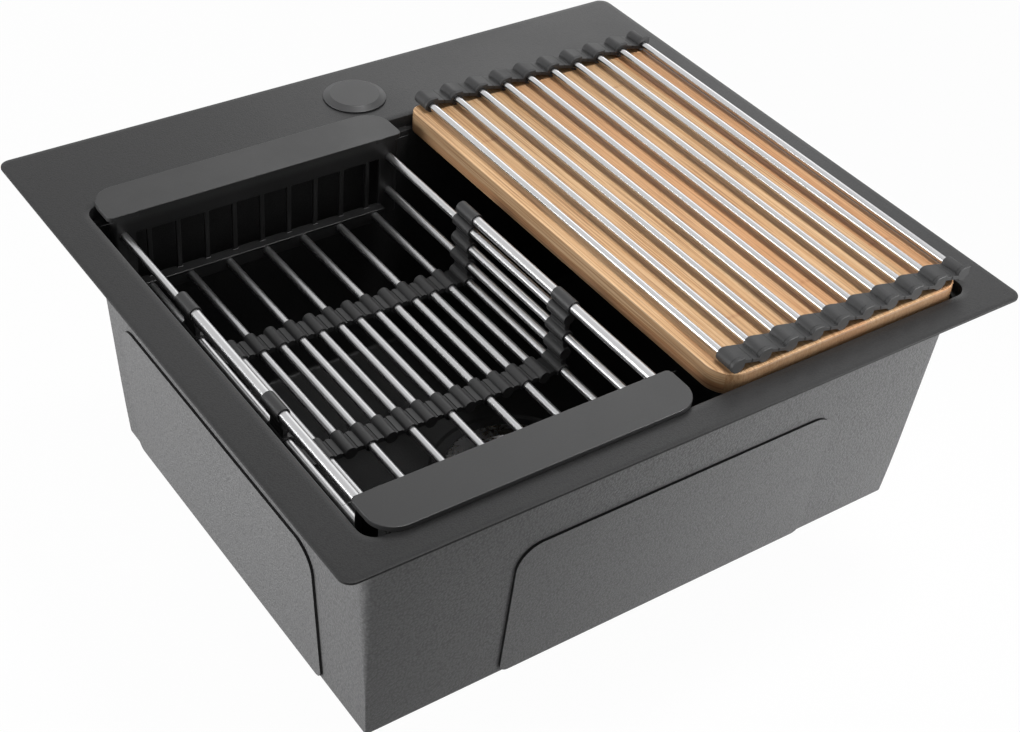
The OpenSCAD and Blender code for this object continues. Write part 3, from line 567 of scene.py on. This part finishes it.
def makeShell(v):
    thick, sheet, floorZ = v["thick"], v["sheet"], v["floor"]
    taper, foot, flat = v["taper"], v["wallFoot"], v["flat"]
    side, front, rear, ledgeZ = v["ledge"]
    deck, opening = v["deck"], v["opening"]
    x0, x1, y0, y1, r = opening
    innerCorner, outerCorner = v["bowlCorner"]
    inner = (x0 + side, x1 - side, y0 + front, y1 - rear, innerCorner)
    outer = (inner[0] - sheet, inner[1] + sheet, inner[2] - sheet, inner[3] + sheet, outerCorner)
    recessR, recessH = v["recess"]
    fold, under = v["fold"]
    rings = []

    def around(box, out, z):
        x0, x1, y0, y1, r = box
        rings.append(roundedRing(x0 - out, x1 + out, y0 - out, y1 + out, max(r + out, 0.6), z))

    def circle(r, z):
        rings.append(circleRing(*v["drain"], r, z, count))

    count = len(roundedRing(*inner, 0))
    # from the waste hole out over the recess and the floor
    inFloor = floorZ + sheet
    for r, z in ((v["hole"], -recessH), (recessR - 2.5, -recessH), (recessR - 0.9, -recessH + 0.3),
                 (recessR, -recessH / 2), (recessR + 0.9, -0.3), (recessR + 2.6, 0)):
        circle(r, inFloor + z)
    around(inner, -taper - flat, inFloor)
    # up the walls to the ledge
    inRun = -floorZ - foot + ledgeZ
    for i in range(v["footSteps"] + 1):
        a = math.pi / 2 * i / v["footSteps"]
        out = (1 - foot) * (1 - math.sin(a)) - taper
        around(inner, out, inFloor + (foot - 1) * (1 - math.cos(a)))
    for i in range(1, v["wallSteps"]):
        s = i / v["wallSteps"]
        around(inner, -taper * (1 - s), inFloor + foot + (inRun - 0.8) * s)
    for out, z in ((0, -0.8), (0.25, -0.25), (0.8, 0)):
        around(inner, out, ledgeZ + z)
    around(opening, -0.5, ledgeZ)
    # up the opening's edge and over the deck to its rim
    mouth = len(rings)
    for out, z in ((0, ledgeZ + 0.5), (0, thick - 1.2), (0.35, thick - 0.35), (1.2, thick), (6, thick)):
        around(opening, out, z)
    for out in (-4, -0.5):
        around(deck, out, thick)
    rim = len(rings)
    for out, z in ((-0.15, thick - 0.15), (0, thick - 0.5), (0, 0.3), (-0.3, 0)):
        around(deck, out, z)
    # back under the deck and down the outside
    around(deck, -fold, 0)
    around(deck, -fold, under)
    around(opening, v["lip"], under)
    around(opening, v["lip"], under - sheet)
    outside = len(rings)
    shelfZ = ledgeZ - sheet
    for out, z in ((sheet, under - sheet), (sheet, shelfZ + 0.5), (sheet - 0.5, shelfZ)):
        around(opening, out, z)
    around(outer, 0.4, shelfZ)
    around(outer, 0, shelfZ - 0.4)
    for i in range(1, v["wallSteps"] + 1):
        s = i / v["wallSteps"]
        around(outer, -taper * s, shelfZ - 0.4 - (inRun - sheet - 0.4) * s)
    for i in range(1, v["footSteps"] + 1):
        a = math.pi / 2 * i / v["footSteps"]
        around(outer, -taper - foot * (1 - math.cos(a)), floorZ + foot * (1 - math.sin(a)))
    around(outer, -taper - flat, floorZ)
    recessR += sheet
    for r, z in ((recessR + 2, 0), (recessR + 0.4, -0.4), (recessR, -recessH / 2),
                 (recessR - 0.6, -recessH + 0.3), (recessR - 2, -recessH), (v["hole"], -recessH)):
        circle(r, floorZ + z)
    vertices, faces = loft(rings)
    coats = [coat[name] for name in ("deck", "outside", "edge", "inside")]
    piece = newPiece("sinkShell", vertices, faces, coats, "base", ("deck", "bowl"))
    # the deck's face keeps the first coat
    for index, face in enumerate(piece.data.polygons):
        ring = index // count
        # painted shade: the inside of the bowl and the waste hole's wall get the darker inside coat
        if ring < mouth or ring == len(rings) - 1:
            face.material_index = 3
        elif ring >= outside:
            face.material_index = 1
        # painted shade: the deck's rim, its underside and the lip get the near-black edge coat
        elif ring >= rim:
            face.material_index = 2


makeShell(shellValues)
print("shell built")


# materials and edges of the carried-over pieces
edgeValues = {
    "weld": 0.00001,
    "segments": 2,
    "angle": 32,
}


def dress(name, material, bevel, values):
    piece = cad[name]
    piece.data.materials.clear()
    piece.data.materials.append(material)
    if bevel:
        weld = piece.modifiers.new("weld", "WELD")
        weld.merge_threshold = values["weld"]
        edge = piece.modifiers.new("edge", "BEVEL")
        edge.width = bevel * mm
        edge.segments = values["segments"]
        edge.limit_method = "ANGLE"
        edge.angle_limit = math.radians(values["angle"])
        edge.use_clamp_overlap = False
        edge.harden_normals = False
        weighted = piece.modifiers.new("normals", "WEIGHTED_NORMAL")
        weighted.keep_sharp = True


def paintShadeOnPadSides(name, out):
    # painted shade: the sides of a pad, all that doesn't face out, get the near-black edge coat, standing
    # in for the shadow line round each pad
    mesh = cad[name].data
    mesh.materials.append(coat["edge"])
    for face in mesh.polygons:
        face.material_index = 0 if abs(face.normal.dot(Vector(out))) > 0.8 else 1


padFacing = {
    "pad_front": (0, -1, 0),
    "pad_rear": (0, 1, 0),
    "pad_left": (-1, 0, 0),
    "pad_right": (1, 0, 0),
    "pad_floor": (0, 0, -1),
}
links = ["%02d" % i for i in range(1, 11)]
dressing = [    # material, width of the bevelled edges, pieces
    (coat["pad"], 0, padFacing),
    (coat["cover"], 0.25, ["tap_hole_cover"]),
    (moulded["sealRubber"], 0, ["tap_hole_seal", "strainer_seal"]),
    (moulded["sealRubber"], 0, ["waste_upper_gasket", "waste_lower_gasket"]),
    (moulded["wastePlastic"], 0, ["waste_body", "waste_outlet_pipe"]),
    (steel["wasteSteel"], 0, ["tap_hole_washer", "tap_hole_nut"]),
    (steel["wasteSteel"], 0, ["waste_flange", "waste_screw", "strainer_basket", "strainer_knob"]),
    (moulded["basketPlastic"], 0.5, ["basket_end_front", "basket_end_rear"]),
    (moulded["stripRubber"], 0.35, ["basket_strip_front", "basket_strip_rear"]),
    (steel["rodSteel"], 0, ["basket_rods_front", "basket_rods_rear"]),
    (steel["rodSteel"], 0, ["basket_tube_left", "basket_tube_right"]),
    (bamboo, 0, ["cutting_board"]),
    (steel["matSteel"], 0, ["mat_rod_" + link for link in links]),
    (moulded["matSilicone"], 0.45, ["mat_sleeves_" + link for link in links]),
]
for material, bevel, names in dressing:
    for name in names:
        dress(name, material, bevel, edgeValues)
for name, out in padFacing.items():
    paintShadeOnPadSides(name, out)
print("carried-over pieces dressed")


# floor, lights and the room around them
stageValues = {
    "floor": (-0.279, 6.0, 0.86),      # height, half its length, tone
    "floorWhite": 0.97,                # how far the camera sees the floor as plain white
    "room": 0.32,                      # level of the light from all round
    "softboxes": [                     # place, aim, size, power
        # low on the left, along the left wall
        ((-1.9, 0.5, -0.05), (-0.25, 0.0, -0.10), 1.6, 68),
        # far behind on the right, for the sheen on the deck
        ((2.16, 2.32, 1.48), (0.0, 0.0, 0.0), 2.0, 10.5),
    ],
    "spots": [                         # place, aim, cone, softness, power
        # in front on the right, along the front wall
        ((1.0, -1.3, -0.10), (0.32, -0.20, -0.12), 36, 0.15, 114),
        # above the board
        ((0.45, -0.25, 2.0), (0.15, -0.10, 0.0), 28, 0.35, 182),
    ],
}


def makeStage(values):
    height, size, tone = values["floor"]
    mesh = bpy.data.meshes.new("floor")
    corners = [(-size, -size, 0), (size, -size, 0), (size, size, 0), (-size, size, 0)]
    mesh.from_pydata(corners, [], [(0, 1, 2, 3)])
    floor = bpy.data.objects.new("floor", mesh)
    bpy.context.scene.collection.objects.link(floor)
    floor.location.z = height
    material = bpy.data.materials.new("floorPaper")
    material.use_nodes = True
    material.node_tree.nodes.clear()
    t = Tree(material.node_tree)
    ray = t.node("ShaderNodeLightPath")
    plain = t.node("ShaderNodeBsdfDiffuse", {"Color": (tone, tone, tone, 1)})
    white = t.node("ShaderNodeEmission", {"Color": (1, 1, 1, 1), "Strength": 1.0})
    seen = t.math("MAXIMUM", ray.outputs["Is Camera Ray"], ray.outputs["Is Transmission Ray"])
    share = t.math("MULTIPLY", seen, values["floorWhite"])
    mixed = t.node("ShaderNodeMixShader", {0: share, 1: plain.outputs[0], 2: white.outputs[0]})
    t.node("ShaderNodeOutputMaterial", {"Surface": mixed.outputs[0]})
    mesh.materials.append(material)

    world = bpy.data.worlds.new("softRoom")
    bpy.context.scene.world = world
    world.use_nodes = True
    world.node_tree.nodes.clear()
    t = Tree(world.node_tree)
    ray = t.node("ShaderNodeLightPath")
    seen = t.math("MAXIMUM", ray.outputs["Is Camera Ray"],
                  t.math("MAXIMUM", ray.outputs["Is Glossy Ray"], ray.outputs["Is Transmission Ray"]))
    room = t.node("ShaderNodeBackground", {"Color": (1, 1, 1, 1), "Strength": values["room"]})
    backdrop = t.node("ShaderNodeBackground", {"Color": (1, 1, 1, 1), "Strength": 1.0})
    mixed = t.node("ShaderNodeMixShader", {0: seen, 1: room.outputs[0], 2: backdrop.outputs[0]})
    t.node("ShaderNodeOutputWorld", {"Surface": mixed.outputs[0]})

    def hang(data, place, aim):
        lamp = bpy.data.objects.new(data.name, data)
        bpy.context.scene.collection.objects.link(lamp)
        lamp.visible_camera = False
        lamp.location = place
        lamp.rotation_euler = (Vector(place) - Vector(aim)).to_track_quat("Z", "Y").to_euler()

    for i, (place, aim, lampSize, power) in enumerate(values["softboxes"]):
        data = bpy.data.lights.new("softbox%d" % i, "AREA")
        data.shape = "DISK"
        data.size = lampSize
        data.energy = power
        hang(data, place, aim)
    for i, (place, aim, cone, softness, power) in enumerate(values["spots"]):
        data = bpy.data.lights.new("spot%d" % i, "SPOT")
        data.spot_size = math.radians(cone)
        data.spot_blend = 1.0
        data.shadow_soft_size = softness
        data.energy = power
        hang(data, place, aim)


makeStage(stageValues)
bpy.context.scene.view_settings.view_transform = "Standard"
print("stage lit")
